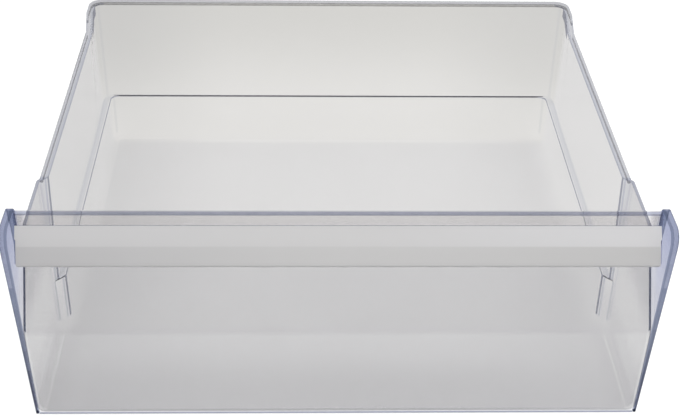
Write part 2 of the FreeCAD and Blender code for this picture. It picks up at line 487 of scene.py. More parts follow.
def rounded(corners: Sequence[Corner], steps: int, closed: bool = False) -> list[Vector]:
    """Turns corners into points, with an arc at each corner that has a radius.

    Args:
        corners: Corners as (first, second, radius) in one plane.
        steps: Segments of each arc.
        closed: Whether the last corner is joined to the first.

    Returns:
        The points, with steps + 1 of them at each rounded corner.
    """
    places = [Vector((first, second)) for first, second, _ in corners]
    points: list[Vector] = []
    for index, (corner, (_, _, radius)) in enumerate(zip(places, corners)):
        at_end = not closed and index in (0, len(places) - 1)
        if radius <= 0 or at_end:
            points.append(corner)
            continue
        back = places[index - 1] - corner
        ahead = places[(index + 1) % len(places)] - corner
        half = back.angle(ahead) / 2
        room = NEARLY_HALF * min(back.length, ahead.length)
        setback = min(radius / math.tan(half), room)
        bend = setback * math.tan(half)
        middle = (back.normalized() + ahead.normalized()).normalized()
        centre = corner + middle * (bend / math.sin(half))
        first = corner + back.normalized() * setback - centre
        last = corner + ahead.normalized() * setback - centre
        sweep = first.angle(last)
        for step in range(steps + 1):
            share = step / steps
            if sweep < STRAIGHT:
                points.append(centre + first.lerp(last, share))
                continue
            points.append(centre + (first * math.sin((1 - share) * sweep)
                                    + last * math.sin(share * sweep)) / math.sin(sweep))
    return points


def inset(points: Sequence[Vector], distance: float) -> list[Vector]:
    """Moves the points of a closed outline to its left.

    Args:
        points: The points.
        distance: How far they move.

    Returns:
        The moved points.
    """
    moved = []
    for index, point in enumerate(points):
        along = points[(index + 1) % len(points)] - points[index - 1]
        along.normalize()
        moved.append(point + Vector((-along.y, along.x)) * distance)
    return moved


class Skin:
    """A mesh that grows by bridging rows of vertices, each band with its own edge marks."""

    def __init__(self, name: str) -> None:
        """Starts an empty mesh with a layer for the edge marks.

        Args:
            name: The piece's name.
        """
        self.name = name
        self.shape = bmesh.new()
        self.marks = self.shape.faces.layers.float.new(EDGE_LAYER)

    def row(self, points: Sequence[Place]) -> list[Vertex]:
        """Adds a row of vertices, given in millimetres from the front plane."""
        return [self.shape.verts.new((x * MM, (y - HALF_DEPTH) * MM, z * MM))
                for x, y, z in points]

    def edges(self, row: Sequence[Vertex], closed: bool = False) -> list[bmesh.types.BMEdge]:
        """Finds the edges along a row and adds those that are missing.

        Args:
            row: The row.
            closed: Whether the row is a ring.

        Returns:
            The edges in their order along the row.
        """
        ahead = [*row[1:], row[0]] if closed else row[1:]
        return [self.shape.edges.get(ends) or self.shape.edges.new(ends)
                for ends in zip(row, ahead)]

    def band(self, low: list[Vertex], high: list[Vertex],
             mark: float | Sequence[float] = 0.0, closed: bool = False) -> None:
        """Bridges two rows of equal length by a band of quads.

        Args:
            low: One row.
            high: The next row.
            mark: One mark for the whole band, or one for each of its faces.
            closed: Whether the rows are rings.
        """
        marks = [mark] * len(low) if isinstance(mark, float) else mark
        made = bmesh.ops.bridge_loops(
            self.shape, edges=self.edges(low, closed) + self.edges(high, closed))
        places = {vertex: index for index, vertex in enumerate(low)}
        for face in made["faces"]:
            first, second = sorted(places[vertex] for vertex in face.verts if vertex in places)
            face[self.marks] = marks[first if second == first + 1 else second]

    def lid(self, rim: Sequence[Vertex], mark: float = 0.0) -> bmesh.types.BMFace:
        """Fills a closed outline by one face.

        Args:
            rim: The outline's vertices in order.
            mark: The face's edge mark.

        Returns:
            The face.
        """
        made = bmesh.ops.contextual_create(self.shape, geom=self.edges(rim, closed=True))
        face = made["faces"][0]
        face[self.marks] = mark
        return face

    def shelve(self, face: bmesh.types.BMFace, levels: Sequence[float],
               mark: Callable[[float], float]) -> None:
        """Cuts an upright face at several heights and marks each slice by its height.

        Args:
            face: The face.
            levels: The heights in millimetres.
            mark: Gives a slice's edge mark from its height in millimetres.
        """
        slices = [face]
        for level in levels:
            around = dict.fromkeys(item for part in slices
                                   for item in (part, *part.edges, *part.verts))
            made = bmesh.ops.bisect_plane(self.shape, geom=list(around), dist=SAME_PLACE,
                                          plane_co=(0.0, 0.0, level * MM),
                                          plane_no=(0.0, 0.0, 1.0))
            slices = [item for item in made["geom"] if isinstance(item, bmesh.types.BMFace)]
        for part in slices:
            part[self.marks] = mark(part.calc_center_median().z / MM)

    def finish(self, material: bpy.types.Material, slot: Slot, node: Node) -> bpy.types.Object:
        """Closes the mesh and puts it in place of its construction node.

        Args:
            material: The piece's material.
            slot: The record's material slot; not used.
            node: The construction node that the piece stands for.

        Returns:
            The finished object.
        """
        bmesh.ops.remove_doubles(self.shape, verts=self.shape.verts, dist=SAME_PLACE)
        bmesh.ops.recalc_face_normals(self.shape, faces=self.shape.faces)
        mesh = bpy.data.meshes.new(self.name)
        for face in self.shape.faces:
            face.smooth = True
        self.shape.to_mesh(mesh)
        self.shape.free()
        mesh.set_sharp_from_angle(angle=math.radians(SHARP_DEGREES))
        mesh.materials.append(material)
        piece = bpy.data.objects.new(self.name, mesh)
        bpy.context.scene.collection.objects.link(piece)
        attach(piece, BODY)
        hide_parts(node.value)
        LOG.info("%s: %d faces", self.name, len(mesh.polygons))
        return piece


@dataclass(frozen=True)
class PanelSection:
    """Side view of the front panel. Y is 0 at the front plane; all in millimetres."""

    front_height: float = 155.2
    front_lean: float = 1.4
    nose_height: float = 132.0
    thickness: float = 2.8
    bend_height: float = 73.0
    bend_radius: float = 16.0
    recess_depth: float = 31.5
    recess_slope: float = 38.5
    recess_radius: float = 12.0
    top_height: float = 154.4
    top_width: float = 8.7
    top_radius: float = 4.2
    lip_thickness: float = 2.2
    lip_reach: float = 25.4
    lip_drop: float = 28.2
    lip_bulge: float = 1.4
    bulge_radius: float = 60.0
    strip_thickness: float = 1.6
    strip_drop: float = 8.4
    seat_clearance: float = 0.2

    @property
    def rear(self) -> float:
        """Y of the rear face of the finger recess."""
        return self.recess_depth + self.thickness

    @property
    def foot(self) -> float:
        """Y of the front face at the foot."""
        return self.nose_height * math.tan(math.radians(self.front_lean))

    def path(self, distance: float) -> list[tuple[float, float]]:
        """Corners of the face from the foot to the recess, moved back.

        Args:
            distance: How far they are moved.

        Returns:
            The foot, the bend and the recess's lower corner as (y, z).
        """
        lower = math.radians(-self.front_lean)
        slope = math.radians(self.recess_slope)
        bend_y = (self.nose_height - self.bend_height) * math.tan(-lower)
        corner_z = self.bend_height + (self.recess_depth - bend_y) / math.tan(slope)
        points = [(self.foot + distance / math.cos(lower), 0.0)]
        turns = (((bend_y, self.bend_height), lower, slope),
                 ((self.recess_depth, corner_z), slope, 0.0))
        for (y, z), before, after in turns:
            middle = (before + after) / 2
            stretch = distance / math.cos((after - before) / 2)
            points.append((y + stretch * math.cos(middle), z - stretch * math.sin(middle)))
        return points

    def rear_face(self, distance: float, top: float) -> list[Vector]:
        """Outline of the panel's rear face, from the foot upwards.

        Args:
            distance: How far it lies behind the front face.
            top: Height of its last point.

        Returns:
            Its points as (y, z).
        """
        foot, bend, corner = self.path(distance)
        return rounded([(*foot, 0.0), (*bend, self.bend_radius - distance),
                        (*corner, self.recess_radius + distance), (corner[0], top, 0.0)],
                       steps=CORNER_STEPS)

    def lip(self, depth: float) -> list[Vector]:
        """Corners of the lip's face, moved in from the strip's face.

        Args:
            depth: How far they are moved.

        Returns:
            Its top, its middle and its edge as (y, z).
        """
        top = Vector((self.rear - self.top_width, self.top_height - self.strip_drop))
        edge = Vector((self.rear - self.lip_reach, self.top_height - self.lip_drop))
        along = (edge - top).normalized()
        outwards = Vector((along.y, -along.x))
        middle = (top + edge) / 2 + outwards * self.lip_bulge
        return [point - outwards * depth for point in (top, middle, edge)]


@dataclass(frozen=True)
class Ring:
    """One level of the bin's skin.

    Attributes:
        height: Its height.
        upper: Whether it belongs to the walls above the ledge.
        front: How far it lies outside the inner face in front of the jog.
        side: The same at the sides behind the jog.
        rear: The same at the rear.
        corner: Radius of the rear corners.
        drop: How much lower it lies where the flange has its skirt.
        mark: Edge mark of the band up to the next ring.
        flange_mark: The same where there is a flange, if it differs.
        rear_mark: The same along the rear wall, if it differs.
        flare_mark: Least mark where the rear ends of the side walls flare.
        plain_front: Whether it has no mark in front of the jog.
    """

    height: float
    upper: bool
    front: float
    side: float
    rear: float
    corner: float
    drop: float = 0.0
    mark: float = 0.0
    flange_mark: float | None = None
    rear_mark: float | None = None
    flare_mark: float = 0.0
    plain_front: bool = False


@dataclass
class BinSkin:
    """Floor, walls, ledge and rim flange of the bin. Sizes in millimetres."""

    finish: ClearPlastic
    section: PanelSection
    rim: float = 131.0
    wall: float = 2.4
    floor: float = 2.4
    front_half_rim: float = 216.7
    front_draft: float = 1.9
    jog_width: float = 5.7
    upper_draft: float = 0.2
    lower_draft: float = 1.4
    depth_rim: float = 425.0
    upper_rear_draft: float = 9.4
    lower_rear_draft: float = 7.5
    ledge: float = 43.8
    ledge_width: float = 4.8
    ledge_width_rear: float = 1.0
    jog_depth: float = 114.0
    jog_draft: float = 3.7
    jog_round: float = 3.0
    jog_lean: float = 22.5
    corner: float = 7.0
    flare: float = 5.0
    flare_low: float = 1.0
    flare_floor: float = 0.001
    flare_start: float = 60.0
    flare_length: float = 41.0
    flare_round: float = 25.0
    floor_round: float = 5.4
    gap: float = 0.25
    flange: float = 2.0
    flange_side: float = 3.9
    flange_rear: float = 8.1
    flange_corner: float = 12.0
    skirt: float = 3.0
    skirt_thickness: float = 1.6
    skirt_return: float = 28.5
    skirt_cut: float = 0.5
    flange_start: float = 0.33
    edge_round: float = 0.6
    hollow_round: float = 0.8
    front_painted_light: float = 0.35
    end_mark: float = 0.05
    levels: tuple[float, ...] = (60.0, 66.0, 70.0, 74.0, 78.0, 84.0, 92.0, 100.0, 106.0, 110.0,
                                 114.0, 118.0, 124.0)

    def front_half(self, z: float) -> float:
        """Half the inside width in front of the jog."""
        return self.front_half_rim - (self.rim - z) * math.tan(math.radians(self.front_draft))

    def upper(self, z: float) -> tuple[float, float, float]:
        """Measures of the inside behind the jog, above the ledge.

        Args:
            z: The height.

        Returns:
            Its half width, depth and flare.
        """
        fall = self.rim - z
        half = (self.front_half_rim - self.jog_width
                - fall * math.tan(math.radians(self.upper_draft)))
        depth = self.depth_rim - fall * math.tan(math.radians(self.upper_rear_draft))
        share = fall / (self.rim - self.ledge)
        return half, depth, self.flare + (self.flare_low - self.flare) * share

    def lower(self, z: float) -> tuple[float, float, float]:
        """Measures of the inside behind the jog, below the ledge.

        Args:
            z: The height.

        Returns:
            Its half width, depth and flare.
        """
        half, depth, _ = self.upper(self.ledge)
        fall = self.ledge - z
        half -= self.ledge_width + fall * math.tan(math.radians(self.lower_draft))
        depth -= self.ledge_width_rear + fall * math.tan(math.radians(self.lower_rear_draft))
        return half, depth, self.flare_floor

    def half_outline(self, ring: Ring) -> list[tuple[float, float, bool, bool]]:
        """Right half of a ring, from the front end to the middle of the rear.

        Args:
            ring: The ring.

        Returns:
            Points as (x, y, has a flange, has a skirt).
        """
        z = ring.height
        half, depth, flare = self.upper(z) if ring.upper else self.lower(z)
        rear_end = (self.jog_depth - (self.rim - z) * math.tan(math.radians(self.jog_draft))
                    + max(self.upper(z)[0] - half, 0.0))
        front_end = rear_end - (self.front_half(z) - half)
        wall_side = min(ring.side, self.wall)
        lean = math.tan(math.radians(self.jog_lean))
        front_corner = (self.front_half(z) + ring.front, front_end + ring.front * lean)
        rear_corner = (half + wall_side, rear_end + wall_side * lean)
        side = half + ring.side
        start = depth - self.flare_start
        end = start + self.flare_length
        jog = rounded([(front_corner[0], 0.0, 0.0), (*front_corner, self.jog_round),
                       (*rear_corner, self.jog_round), (rear_corner[0], start, 0.0)],
                      steps=JOG_STEPS)
        turn = JOG_STEPS + 2
        points = [(front_corner[0], self.section_rear(z), False, False)]
        points += [(x, y, False, False) for x, y in jog[1:turn]]
        points.append((*(first + (last - first) * self.flange_start
                         for first, last in zip(front_corner, rear_corner)), False, False))
        points += [(max(x, side), y, True, True) for x, y in jog[turn:-1]]
        tail = rounded([(side, rear_corner[1], 0.0), (side, start, self.flare_round),
                        (side + flare, end, self.flare_round),
                        (side + flare, depth + ring.rear, ring.corner),
                        (0.0, depth + ring.rear, 0.0)], steps=CORNER_STEPS)
        turn = CORNER_STEPS + 2
        points.append((tail[1].x, tail[1].y - self.skirt_cut, True, True))
        points += [(x, y, True, False) for x, y in tail[1:turn]]
        before, after = tail[turn - 1], tail[turn]
        cut = before + (after - before) * (self.skirt_return / self.flare_length)
        points.append((cut.x, cut.y, True, False))
        points.append((cut.x, cut.y + self.skirt_cut, True, True))
        points += [(x, y, True, True) for x, y in tail[turn:]]
        return points

    def across_marks(self, ring: Ring, inner: bool) -> list[float]:
        """Edge marks along one half of a ring, for the corners of the walls.

        Args:
            ring: The ring.
            inner: Whether it lies on the inside.

        Returns:
            One mark for each stretch between two points of the half, 0 for a plain wall.
        """
        # The marks paint dark lines of shade at the jog's rounds and where the side walls
        # flare; a negative mark below the ledge paints light.
        front_jog, rear_jog = (0.3, 1.1) if inner else (0.15, 0.35)
        step = 0.15 if ring.upper else -0.08
        marks = [0.0] + [front_jog] * JOG_STEPS + [step if inner else 0.0] * 2
        marks += [rear_jog] * JOG_STEPS + [0.0] * (CORNER_STEPS + 2)
        marks += [ring.flare_mark] * (CORNER_STEPS + 4) + [0.0] * CORNER_STEPS + [0.0]
        if inner:
            marks[-6:-4] = [0.1] * 2
        on_floor = ring.height < self.floor + self.floor_round - 0.01
        return [0.0] * len(marks) if on_floor else marks

    def section_rear(self, z: float) -> float:
        """Finds the bin's front end, just behind the front panel.

        Args:
            z: The height.

        Returns:
            Its y.
        """
        face = self.section.rear_face(self.section.thickness + self.gap, self.rim + 1)
        for low, high in zip(face, face[1:]):
            if low.y <= z <= high.y:
                return low.x + (high.x - low.x) * (z - low.y) / (high.y - low.y)
        return face[-1].x

    def wall_ring(self, height: float, out: float, upper: bool = True,
                  **marks: float) -> Ring:
        """A ring that runs evenly outside the inner faces, by the distance out."""
        return Ring(height, upper, out, out, out, self.corner + out, **marks)

    def floor_ring(self, angle: float, base: float, out: float) -> Ring:
        """A ring of the round between the floor and the walls."""
        height = base + self.floor_round * (1 - math.cos(angle))
        return self.wall_ring(height, out - self.floor_round * (1 - math.sin(angle)), False)

    def ledge_rings(self) -> list[Ring]:
        """Rings of the ledge: over its edge, then up the hollow behind it.

        Returns:
            The rings, upwards.
        """
        rings = []
        # The marks paint the ledge's edge as a dark line of shade, darkest along the rear.
        for angle in EDGE_ANGLES:
            out = self.edge_round * (1 - math.cos(angle))
            height = self.ledge - self.edge_round * (1 - math.sin(angle))
            rings.append(Ring(height, False, 0.0, out, 0.6 * out, self.corner, mark=LINE,
                              rear_mark=DARK, plain_front=True))
        rings[-1] = replace(rings[-1], mark=0.03)
        for angle in EDGE_ANGLES:
            out = -self.hollow_round * (1 - math.sin(angle))
            height = self.ledge + self.hollow_round * (1 - math.cos(angle))
            rings.append(Ring(height, True, 0.0, out, 0.5 * out, self.corner, mark=0.12,
                              rear_mark=DARK if out < -0.3 else 0.15, plain_front=True))
        rings[-1] = replace(rings[-1], mark=0.0, rear_mark=None)
        return rings

    def rim_rings(self) -> list[Ring]:
        """Rings of the rim: over its inner edge, then across its top.

        Returns:
            The rings, outwards.
        """
        wall, corner = self.wall, self.corner + self.wall
        rings = []
        # The marks paint the rim's edges as dark lines of shade, darkest where the side walls
        # flare; a negative mark paints light along the rear.
        for angle in EDGE_ANGLES:
            height = self.rim - self.edge_round * (1 - math.sin(angle))
            rings.append(self.wall_ring(height, self.edge_round * (1 - math.cos(angle)),
                                        mark=0.8, flange_mark=0.8, rear_mark=0.1,
                                        flare_mark=1.2))
        rings[-1] = replace(rings[-1], mark=0.65, flange_mark=0.45, rear_mark=-0.5,
                            flare_mark=0.0)
        return [*rings, Ring(self.rim, True, 0.5 * wall, wall, wall, corner, mark=0.65,
                             flange_mark=0.3, rear_mark=0.3)]

    def flange_rings(self) -> list[Ring]:
        """Rings of the flange: over its edge, down its skirt and back up inside it.

        Returns:
            The rings, from its top to its underside.
        """
        wall, corner = self.wall, self.flange_corner
        side, rear = wall + self.flange_side, wall + self.flange_rear
        rings = []
        # The marks paint a dark line of shade along the flange's edge; a negative mark paints
        # light inside the skirt.
        for angle in EDGE_ANGLES:
            back = self.edge_round * (1 - math.sin(angle))
            height = self.rim - self.edge_round * (1 - math.cos(angle))
            rings.append(Ring(height, True, wall - back, side - back, rear - back,
                              corner - back, mark=LINE, flange_mark=0.2, rear_mark=0.35,
                              flare_mark=0.6))
        rings[-1] = replace(rings[-1], mark=0.0, flange_mark=0.08, rear_mark=None,
                            flare_mark=0.0)
        foot = Ring(self.rim - self.flange, True, wall, side, rear, corner, self.skirt,
                    flange_mark=0.15)
        thick = self.skirt_thickness
        inside = replace(foot, side=side - thick, rear=rear - thick, corner=corner - thick,
                         flange_mark=-0.2)
        return [*rings, foot, inside, replace(inside, drop=0.0)]

    def rings(self) -> list[Ring]:
        """Lists all the rings of the bin's skin.

        Returns:
            The rings, from the floor's inside over the rim to the floor's underside.
        """
        wall, under = self.wall, self.ledge - self.wall
        inner = [self.wall_ring(z, 0.0) for z in self.levels]
        inner[-1] = replace(inner[-1], flare_mark=1.2)
        outer = (self.rim - self.flange, *reversed(self.levels), self.ledge)
        return [
            *(self.floor_ring(angle, self.floor, 0.0) for angle in FLOOR_ANGLES),
            *self.ledge_rings(),
            *inner,
            *self.rim_rings(),
            *self.flange_rings(),
            *(self.wall_ring(z, wall) for z in outer),
            self.wall_ring(under, wall, mark=0.2),
            self.wall_ring(under, wall, False),
            *(self.floor_ring(angle, 0.0, wall) for angle in reversed(FLOOR_ANGLES)),
        ]

    def band_marks(self, ring: Ring, inner: bool, flanged: Sequence[bool]) -> list[float]:
        """Works out the edge marks of the band that starts at a ring.

        Args:
            ring: The ring.
            inner: Whether the band lies on the inside.
            flanged: Whether each point of the ring has a flange.

        Returns:
            One mark for each face, from the left front end round to the right one.
        """
        half = self.across_marks(ring, inner)
        other = ring.mark if ring.flange_mark is None else ring.flange_mark
        marks = []
        for here, there, across in zip(flanged, flanged[1:], [*half, *reversed(half)]):
            mark = other if here and there else ring.mark
            marks.append(across if across < 0 else max(mark, across))
        if ring.rear_mark is not None:
            middle = len(half)
            marks[middle - 1:middle + 1] = [ring.rear_mark] * 2
        if ring.plain_front:
            plain = JOG_STEPS + 1
            marks[:plain] = marks[-plain:] = [0.0] * plain
            if ring.mark == LINE:
                marks[plain:plain + 2] = marks[-plain - 2:-plain] = [DARK] * 2
        return marks

    def build(self) -> bpy.types.Object:
        """Builds the bin.

        Returns:
            The finished object.
        """
        skin = Skin("bin_skin")
        rows = []
        rings = self.rings()
        for ring in rings:
            half = [(x, y, ring.height - (ring.drop if skirt else 0.0))
                    for x, y, _, skirt in self.half_outline(ring)]
            rows.append(skin.row([(-x, y, z) for x, y, z in half] + half[-2::-1]))
        flanged = [point[2] for point in self.half_outline(rings[0])]
        flanged += flanged[-2::-1]
        top = max(range(len(rings)), key=lambda index: rings[index].height)
        for index, (ring, low, high) in enumerate(zip(rings, rows, rows[1:])):
            skin.band(low, high, self.band_marks(ring, index < top, flanged))
        skin.lid(rows[0])
        skin.lid(rows[-1])
        self._close_front(skin, rows)
        return skin.finish(self.finish.material(), Slot.BIN, Node.BIN)

    def _close_front(self, skin: Skin, rows: list[list[Vertex]]) -> None:
        """Closes the walls and the floor at the front end.

        Args:
            skin: The bin's skin.
            rows: Its rows of vertices, from the floor's inside to its underside.
        """
        for end in (0, -1):
            face = skin.lid([row[end] for row in rows])
            # The front end faces are lightened towards white: painted light.
            skin.shelve(face, self.levels, lambda z: self.front_painted_light * CLEAR)
        skin.lid((rows[0][0], rows[0][-1], rows[-1][-1], rows[-1][0]), self.end_mark)


@dataclass(frozen=True)
class CheekLevel:
    """One ring of a cheek's skin, from its inner to its outer face.

    Attributes:
        outline: Its side view.
        share: Where it lies between the inner face (0) and the outer face (1).
        shift: How far it is moved outwards, in edge radii.
        mark: Edge mark of the band up to the next level, at the top.
        rear_mark: The same along the cheek's rear edge.
        low_mark: The same at the foot.
        deepening: How fast it turns into that, 1 if only at the foot itself.
    """

    outline: list[Vector]
    share: float
    shift: float
    mark: float
    rear_mark: float
    low_mark: float
    deepening: float = 1.3

    def deeper(self, low: float) -> float:
        """The mark at a height, from 0 at the top to 1 at the foot."""
        return self.mark + (self.low_mark - self.mark) * min(self.deepening * low, 1.0)


@dataclass
class PanelSkin:
    """Front panel with its recess, bend, lip and cheeks. Sizes in millimetres."""

    finish: ClearPlastic
    section: PanelSection
    width: float = 450.0
    outer_lean: float = 3.6
    inner_lean: float = 2.4
    cheek_top: float = 5.6
    nose_radius: float = 20.0
    rear_radius: float = 3.0
    edge_round: float = 0.7
    end_line: float = 0.7
    end_gap: float = 0.02
    foot_round: float = 0.6
    lip_round: float = 0.8
    crest_height: float = 1.7
    before_crest: float = 0.74
    behind_crest: float = 0.08
    corner_mark: float = 0.45
    face_fade: float = 1.6
    rear_top: float = 12.0
    web_steps: int = 6
    columns: int = 12

    def outer_half(self, z: float) -> float:
        """Half the width over the cheeks at a height."""
        fall = self.section.front_height - z
        return self.width / 2 - fall * math.tan(math.radians(self.outer_lean))

    def inner_half(self, z: float) -> float:
        """Half the width between the cheeks at a height."""
        fall = self.section.front_height - z
        return (self.width / 2 - self.cheek_top
                - fall * math.tan(math.radians(self.inner_lean)))

    def build(self) -> bpy.types.Object:
        """Builds the panel.

        Returns:
            The finished object.
        """
        skin = Skin("front_panel_skin")
        self._build_web(skin)
        for side in (-1.0, 1.0):
            self._build_cheek(skin, side)
        return skin.finish(self.finish.material(), Slot.PANEL, Node.PANEL)

    def _web_outline(self) -> list[tuple[Vector, float]]:
        """Draws the closed side view of the web between the cheeks.

        Returns:
            Its points as (y, z), each with the edge mark of the band up to the next one.
        """
        given = self.section
        seat = given.strip_thickness + given.seat_clearance
        seat_top, seat_middle, seat_edge = given.lip(seat)
        rear_top, rear_middle, rear_edge = given.lip(seat + given.lip_thickness)
        face_top = given.lip(0.0)[0]
        front = given.path(0.0)
        back = given.path(given.thickness)
        inside = given.top_radius - given.lip_thickness
        ceiling = given.top_height - given.lip_thickness
        # Each entry gives a corner as (y, z, radius), the mark of its round and the mark of the
        # straight after it; the marks paint dark lines of shade along the edges.
        marked = [
            ((*front[0], self.foot_round), FOOT, 0.0),
            ((*front[1], given.bend_radius), 0.0, 0.0),
            ((*front[2], given.recess_radius), 0.0, 0.0),
            ((given.recess_depth, ceiling, inside), 0.0, 0.0),
            ((rear_top.x, ceiling, inside), 0.0, 0.0),
            ((*rear_top, given.top_radius), 0.0, 0.0),
            ((*rear_middle, given.bulge_radius), 0.0, 0.0),
            ((*rear_edge, self.lip_round), LINE, NARROW),
            ((*seat_edge, self.lip_round), LINE, 0.0),
            ((*seat_middle, given.bulge_radius), 0.0, 0.0),
            ((*seat_top, 0.3), NARROW, NARROW),
            ((*face_top, 0.4), LINE, 0.0),
            ((given.rear - given.top_width, given.top_height, given.top_radius), 0.0, NARROW),
            ((given.rear, given.top_height, given.top_radius), 0.0, 0.0),
            ((*back[2], given.recess_radius + given.thickness), 0.0, 0.0),
            ((*back[1], given.bend_radius - given.thickness), 0.0, 0.0),
            ((*back[0], self.foot_round), 0.1, 0.8),
        ]
        steps = self.web_steps
        points = rounded([corner for corner, _, _ in marked], steps=steps, closed=True)
        marks = [mark for _, bend, straight in marked for mark in [bend] * steps + [straight]]
        crest = given.top_height - self.crest_height
        for index, point in enumerate(points):
            after = points[(index + 1) % len(points)]
            if min(point.y, after.y) > crest:
                behind = max(point.x, after.x) > given.rear - given.top_radius + 0.1
                marks[index] = self.behind_crest if behind else self.before_crest
        return list(zip(points, marks))

    def _build_web(self, skin: Skin) -> None:
        """Adds the panel between the cheeks, with closed ends just clear of them.

        Args:
            skin: The panel's skin.
        """
        given = self.section
        outline = self._web_outline()
        marks = [mark for _, mark in outline]
        corner_height = given.path(given.thickness)[2][1]
        # The end bands next to the cheeks carry painted dark lines of shade.
        ends = []
        for point, mark in outline:
            if point.y < given.bend_height:
                ends.append(mark)
            else:
                ends.append(FOOT if point.y < corner_height else self.corner_mark)
        shares = [2 * column / self.columns - 1 for column in range(1, self.columns)]
        rows = []
        for share in (-1.0, None, *shares, None, 1.0):
            row = []
            for point, _ in outline:
                half = self.inner_half(point.y) - self.end_gap
                x = share * half if share is not None else math.copysign(
                    half - self.end_line, len(rows) - self.columns / 2)
                row.append((x, point.x, point.y))
            rows.append(skin.row(row))
        for index, (left, right) in enumerate(zip(rows, rows[1:])):
            at_end = index in (0, len(rows) - 2)
            skin.band(left, right, ends if at_end else marks, closed=True)
        for row in (rows[0], rows[-1]):
            skin.lid(row, CLEAR)

    def _build_cheek(self, skin: Skin, side: float) -> None:
        """Adds one cheek as a plate with rounded edges.

        Args:
            skin: The panel's skin.
            side: -1 for the left cheek, 1 for the right one.
        """
        given = self.section
        back = given.path(given.thickness)
        outline = rounded([
            (*back[0], 1.0),
            (*back[1], given.bend_radius - given.thickness),
            (*back[2], given.recess_radius + given.thickness),
            (given.rear, given.front_height, self.rear_radius),
            (0.0, given.front_height, self.nose_radius),
            (0.0, given.nose_height, self.nose_radius),
            *((given.foot * (1 - z / given.nose_height), z, 0.0) for z in FRONT_STEPS),
            (given.foot, 0.0, 1.0),
        ], steps=CORNER_STEPS, closed=True)
        small = inset(outline, self.edge_round)
        middle = inset(outline, 0.3 * self.edge_round)
        # The marks paint dark lines of shade along the cheek's edges, mostly darker towards the
        # foot, and the bluish tint of its broad faces fades towards the foot.
        levels = (
            CheekLevel(small, 0.0, 0.0, 0.95, 0.15, 0.75),
            CheekLevel(middle, 0.0, 0.3, 0.95, 0.15, 1.0),
            CheekLevel(outline, 0.0, 1.0, 0.95, 0.15, FOOT),
            CheekLevel(outline, 0.35, 0.0, 0.72, 0.05, DARK),
            CheekLevel(outline, 0.85, 0.0, 1.1, 0.1, 1.2),
            CheekLevel(outline, 1.0, -1.0, 1.1, 0.15, 1.2),
            CheekLevel(middle, 1.0, -0.3, 1.1, 0.15, 1.2),
            CheekLevel(small, 1.0, 0.0, 0.0, 0.0, 0.0),
        )
        rows = []
        for level in levels:
            row = []
            for y, z in level.outline:
                inner, outer = self.inner_half(z), self.outer_half(z)
                half = inner + (outer - inner) * level.share + level.shift * self.edge_round
                row.append((side * half, y, z))
            rows.append(skin.row(row))
        rear_top = given.front_height - self.rear_top
        rising = [after.y > point.y + 0.3 and after.y < rear_top
                  for point, after in zip(outline, [*outline[1:], outline[0]])]
        for level, low, high in zip(levels, rows, rows[1:]):
            marks = []
            for (_, z), rear in zip(outline, rising):
                marks.append(level.rear_mark if rear else level.deeper(self._low(z)))
            skin.band(low, high, marks, closed=True)
        for row in (rows[0], rows[-1]):
            skin.shelve(skin.lid(row), FACE_STEPS, self._face_mark)

    def _face_mark(self, z: float) -> float:
        """Edge mark of a cheek's broad faces, which fades towards the foot."""
        return FACE * max(1 - self.face_fade * self._low(z), 0.0)

    def _low(self, z: float) -> float:
        """How far down a height lies, from 0 at the top to 1 at the foot."""
        return min(max(1.0 - z / self.section.front_height, 0.0), 1.0)


